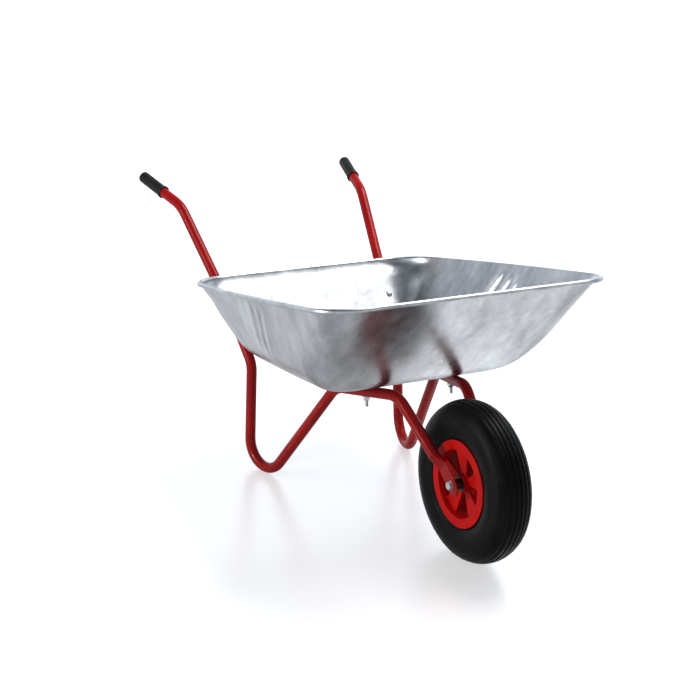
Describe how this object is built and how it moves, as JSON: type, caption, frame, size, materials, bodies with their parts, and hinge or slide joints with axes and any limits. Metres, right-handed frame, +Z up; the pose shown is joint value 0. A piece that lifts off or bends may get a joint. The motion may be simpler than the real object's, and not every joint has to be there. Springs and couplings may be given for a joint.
{
  "type": "wheelbarrow",
  "caption": "Garden wheelbarrow with a galvanised pressed tray on bent red tubes that form the handles, the legs and the fork of a pneumatic wheel.",
  "frame": {"origin": "on the ground, in the middle of the barrow's length and width", "axes": "+X forward towards the wheel, +Y to the left, +Z up"},
  "size_m": [1.3184, 0.729, 0.6217],
  "materials": {
    "galvanised_sheet": "bright galvanised, spangled and streaked",
    "red_paint": "gloss dark red paint",
    "grip_plastic": "soft black vinyl",
    "tyre_rubber": "black moulded tyre rubber",
    "tube_rubber": "smooth butyl rubber",
    "rim_plastic": "bright red moulded plastic",
    "valve_rubber": "rubber covered valve with plated thread",
    "cap_plastic": "black plastic",
    "bush_nylon": "dark red nylon",
    "dark_steel": "plain oiled steel, nearly black",
    "zinc_steel": "bright zinc plated steel"
  },
  "bodies": {
    "frame": {"axle_bolt": "zinc_steel", "axle_nut": "zinc_steel", "axle_sleeve": "zinc_steel", "left_axle_spacer": "dark_steel", "left_axle_washer": "zinc_steel", "left_floor_bolt": "zinc_steel", "left_floor_nut": "zinc_steel", "left_floor_washer": "zinc_steel", "left_frame_tube": "red_paint", "left_grip": "grip_plastic", "left_wall_bolt": "zinc_steel", "left_wall_nut": "zinc_steel", "left_wall_washer": "zinc_steel", "right_axle_spacer": "dark_steel", "right_axle_washer": "zinc_steel", "right_floor_bolt": "zinc_steel", "right_floor_nut": "zinc_steel", "right_floor_washer": "zinc_steel", "right_frame_tube": "red_paint", "right_grip": "grip_plastic", "right_wall_bolt": "zinc_steel", "right_wall_nut": "zinc_steel", "right_wall_washer": "zinc_steel", "tray": "galvanised_sheet"},
    "wheel": {"tyre": "tyre_rubber", "inner_tube": "tube_rubber", "wheel_rim": "rim_plastic", "valve_stem": "valve_rubber", "valve_cap": "cap_plastic", "left_hub_bush": "bush_nylon", "right_hub_bush": "bush_nylon"}
  },
  "joints": [
    {"name": "wheel_spin", "type": "hinge", "parent": "frame", "child": "wheel", "pos_m": [0.47922, 0, 0.18], "axis": [0, 1, 0], "continuous": true}
  ]
}
